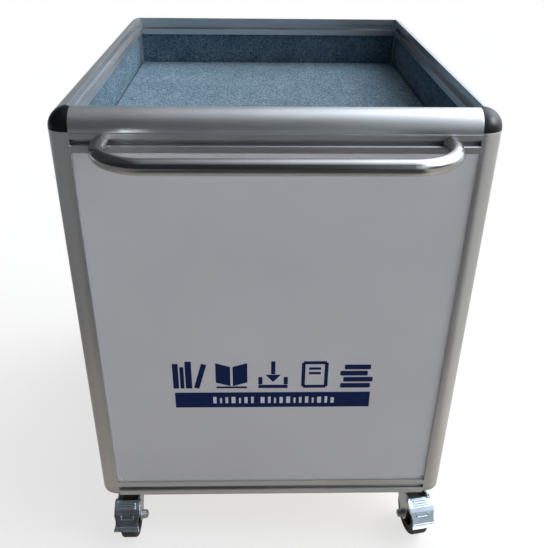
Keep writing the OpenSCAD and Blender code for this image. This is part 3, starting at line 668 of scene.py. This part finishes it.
def returned_book(x, z):
    """An arrow down into a tray."""
    mid = x + CELL / 2
    left, right = x + 0.003, x + CELL - 0.003
    return [
        rect(left, z, right, z + LINE, 0.0012),
        rect(left, z + LINE + 0.0008, left + LINE, z + 0.021, 0.0012),
        rect(right - LINE, z + LINE + 0.0008, right, z + 0.021, 0.0012),
        rect(mid - LINE / 2, z + 0.026, mid + LINE / 2, z + 0.050, 0.0012),
        [(mid - 0.0115, z + 0.0252), (mid, z + 0.0115), (mid + 0.0115, z + 0.0252)],
    ]


def closed_book(x, z):
    """A cover's outline with two lines of title."""
    cover = rect(x + 0.008, z + 0.003, x + 0.042, z + 0.047)
    shapes = [stroke(a, b, 0.0055) for a, b in zip(cover, cover[1:] + cover[:1])]
    shapes.append(rect(x + 0.016, z + 0.034, x + 0.034, z + 0.0385, 0.001))
    shapes.append(rect(x + 0.016, z + 0.0255, x + 0.034, z + 0.030, 0.001))
    return shapes


def book_stack(x, z):
    """Four books lying on each other."""
    shapes = []
    for low_z, left, right in ((0.000, 0.002, 0.047), (0.0115, 0.006, 0.050),
                               (0.0230, 0.001, 0.042), (0.0345, 0.007, 0.046)):
        shapes.append(rect(x + left, z + low_z, x + right, z + low_z + 0.0088, 0.0018))
    return shapes


def printed(name, shapes, look, layer=0):
    bm = bmesh.new()
    for outline in shapes:
        plate(bm, outline, layer)
    new_piece(name, mesh_from(name, bm, smooth=False), "frame", look)


# Lower left corner of the first pictogram, and the distance to the next
ICON_X = -0.149
ICON_Z = 0.3255
ICON_STEP = 0.0618
BAR = (-0.1475, 0.2885, 0.1465, 0.3175)
# Widths of the small spines on the bar, in millimetres, with a 0 for a wider gap
SPINES_MM = (5, 3, 4, 6, 3, 5, 4, 0, 6, 4, 3, 5, 6, 3, 4, 5, 3, 6, 4, 5)
MM = 0.001
SPINE_X = -0.0905
SPINE_Z = 0.2965
SPINE_HEIGHTS = (0.0125, 0.0105, 0.0118)
SPINE_GAP = 0.0052
SPINE_ROUND = 0.0007

icons = []
for index, drawn in enumerate((book_row, open_book, returned_book, closed_book, book_stack)):
    icons += drawn(ICON_X + index * ICON_STEP, ICON_Z)
printed("print_pictograms", icons, NAVY)
printed("print_bar", [rect(*BAR)], NAVY)

spines = []
left = SPINE_X
for index, wide in enumerate(SPINES_MM):
    tall = SPINE_HEIGHTS[index % len(SPINE_HEIGHTS)]
    if wide:
        spines.append(rect(left, SPINE_Z, left + wide * MM, SPINE_Z + tall, SPINE_ROUND))
    left += wide * MM + SPINE_GAP
printed("print_spines", spines, PALE, layer=1)


# Stage


def staged(name, mesh, look):
    """An object of the stage, which is no part of the bin."""
    mesh.materials.append(look)
    made = in_scene(name, mesh)
    return made


def ground(name, reach, height, look):
    """A square about the origin."""
    mesh = bpy.data.meshes.new(name)
    corners = ((-1, -1), (1, -1), (1, 1), (-1, 1))
    mesh.from_pydata([(x * reach, y * reach, height) for x, y in corners], [], [(0, 1, 2, 3)])
    return staged(name, mesh, look)


def seen_directly(tree):
    """1 for what the camera, a polished surface or glass sees, 0 for light on the object."""
    path = add(tree, "LightPath").outputs
    seen = math_node(tree, "MAXIMUM", path["Is Camera Ray"], path["Is Glossy Ray"])
    return math_node(tree, "MAXIMUM", seen, path["Is Transmission Ray"])


# Share of the floor's look that is even white, the rest being the light that falls on it
BACKDROP_SHARE = 0.7
FLOOR_REACH = 30.0


def pale_floor(tree):
    """Matt pale floor that keeps the object's shadow, seen through from below."""
    paint = add(tree, "BsdfDiffuse", {"Color": (0.93, 0.93, 0.93, 1)}).outputs[0]
    clear = add(tree, "BsdfTransparent").outputs[0]
    white = add(tree, "Emission", {"Color": (1.0, 1.0, 1.0, 1), "Strength": 1.0}).outputs[0]
    share = times(tree, seen_directly(tree), BACKDROP_SHARE)
    top = add(tree, "MixShader", {0: share, 1: paint, 2: white}).outputs[0]
    back = add(tree, "NewGeometry").outputs["Backfacing"]
    return add(tree, "MixShader", {0: back, 1: top, 2: clear}).outputs[0]


ground("stage_floor", FLOOR_REACH, 0, surface("stage_floor", pale_floor))

# A card just over the floor and a dome, which only polished parts see
ROOM_REACH = 9.0
ROOM_HEIGHT = 0.0004
DOME_R = 8.6


def room_look(tree):
    """Floor that is dark in front and to the left, pale to the right and behind, and warm
    close to the object."""
    spot = add(tree, "SeparateXYZ", {0: place(tree)})
    aside, ahead = spot.outputs[0], spot.outputs[1]
    front = times(tree, ahead, -1.0)
    far = math_node(tree, "MAXIMUM", math_node(tree, "ABSOLUTE", aside), front)
    near = span(tree, far, 1.0, 0.0, (0.34, 1.05))
    lit = math_node(tree, "SUBTRACT", aside, times(tree, front, 0.5))
    lit = span(tree, lit, 0.0, 1.0, (0.10, 0.45))
    left = span(tree, aside, 1.0, 0.0, (-1.0, -0.3))
    far_floor = blend(tree, left, (0.062, 0.062, 0.066, 1), (0.19, 0.19, 0.19, 1))
    dark = blend(tree, near, far_floor, (0.40, 0.375, 0.32, 1))
    bright = blend(tree, near, (0.50, 0.49, 0.455, 1), (0.74, 0.71, 0.62, 1))
    rear = blend(tree, span(tree, aside, 0.0, 1.0, (-0.4, 1.1)),
                 (0.46, 0.53, 0.60, 1), (0.76, 0.80, 0.82, 1))
    behind = span(tree, ahead, 0.0, 1.0, (0.5, 1.6))
    colour = blend(tree, behind, blend(tree, lit, dark, bright), rear)
    return add(tree, "Emission", {"Color": colour, "Strength": 1.0}).outputs[0]


# Soft lights, each with its direction, its tightness and its brightness
LIGHTS = (
    ((0.68, 0.22, 0.70), 8.0, 6.2),
    ((0.03, 0.42, 0.91), 6.0, 0.62),
    ((0.84, -0.50, 0.20), 12.0, 1.30),
)
# Light from everywhere
DIM = 0.025
# The first light as the dome shows it
GLEAM = (LIGHTS[0][0], 8.0, 5.6)
# Small bright windows in the dome, to the right
PANES = (
    ((0.48, -0.68, 0.56), 50.0, 1.1),
    ((0.46, -0.84, 0.28), 40.0, 0.6),
    ((0.72, -0.27, 0.64), 48.0, 20.0),
)


def lobe_of(tree, direction, way, tightness, brightness):
    """Light from round about one way, by the cosine to that way raised to its tightness."""
    aim = tuple(Vector(way).normalized())
    towards = add(tree, "VectorMath", {0: direction, 1: aim}, operation="DOT_PRODUCT")
    facing = math_node(tree, "MAXIMUM", towards.outputs["Value"], 0.0)
    return times(tree, math_node(tree, "POWER", facing, tightness), brightness)


def dome_look(tree):
    """Dark in front up to head height, with an even ceiling, the first light, the windows
    and a pale back wall."""
    direction = place(tree, (1 / DOME_R, 1 / DOME_R, 1 / DOME_R))
    aside, ahead, height = add(tree, "SeparateXYZ", {0: direction}).outputs
    length = math_node(tree, "SQRT", plus(
        tree, times(tree, ahead, ahead), times(tree, height, height)))
    frontal = math_node(tree, "DIVIDE", times(tree, ahead, -1.0), length)
    ceiling = times(tree, span(tree, frontal, 1.0, 0.0, (0.36, 0.62)),
                    span(tree, aside, 0.02, 0.50, (-0.36, 0.4)))
    strength = plus(tree, ceiling, DIM)
    for light in (GLEAM, *PANES):
        strength = plus(tree, strength, lobe_of(tree, direction, *light))
    low = span(tree, height, 1.0, 0.0, (0.20, 0.45))
    behind = span(tree, ahead, 0.0, 1.0, (0.5, 0.8))
    wall = span(tree, aside, 0.30, 0.50, (-0.1, 0.3))
    wall = times(tree, wall, times(tree, low, behind))
    strength = plus(tree, strength, wall)
    return add(tree, "Emission", {
        "Color": (0.85, 0.925, 1.0, 1),
        "Strength": strength,
    }).outputs[0]


room = ground("stage_room", ROOM_REACH, ROOM_HEIGHT, surface("stage_room", room_look))
bm = bmesh.new()
bmesh.ops.create_uvsphere(bm, u_segments=64, v_segments=32, radius=DOME_R)
dome = staged("stage_dome", mesh_from("stage_dome", bm), surface("stage_dome", dome_look))
for card in (room, dome):
    card.visible_camera = False
    card.visible_diffuse = False
    card.visible_transmission = False
    card.visible_shadow = False

# The sky gives the lights' glow to matt surfaces and is plain white wherever it is seen
world = bpy.data.worlds.new("studio")
bpy.context.scene.world = world
sky = empty_tree(world)
direction = add(sky, "TexCoord").outputs["Generated"]
strength = DIM
for light in LIGHTS:
    strength = plus(sky, lobe_of(sky, direction, *light), strength)
shown = seen_directly(sky)
hidden = math_node(sky, "SUBTRACT", 1.0, shown)
strength = plus(sky, times(sky, strength, hidden), shown)
background = add(sky, "Background", {"Color": (0.98, 0.99, 1.0, 1), "Strength": strength})
add(sky, "OutputWorld", {"Surface": background.outputs[0]})

# The photo's camera: its focal length and the photo's longer side in pixels, its place
# and its three directions
FOCAL_PX = 678.1666
PHOTO_PX = 548
SENSOR_MM = 36
CAMERA_AT = Vector((-0.02597, -1.07640, 0.98291))
CAMERA_RIGHT = Vector((0.9997117, -0.02151964, 0.01065019))
CAMERA_UP = Vector((0.00156081, 0.50086201, 0.86552574))
CAMERA_AHEAD = Vector((0.02396008, 0.86525959, -0.5007512))

camera_data = bpy.data.cameras.new("camera")
camera_data.sensor_width = SENSOR_MM
camera_data.lens = FOCAL_PX / PHOTO_PX * SENSOR_MM
camera = in_scene("camera", camera_data)
turn = Matrix((CAMERA_RIGHT, CAMERA_UP, -CAMERA_AHEAD)).transposed().to_4x4()
camera.matrix_world = Matrix.Translation(CAMERA_AT) @ turn
bpy.context.scene.camera = camera
bpy.context.scene.view_settings.view_transform = "Standard"
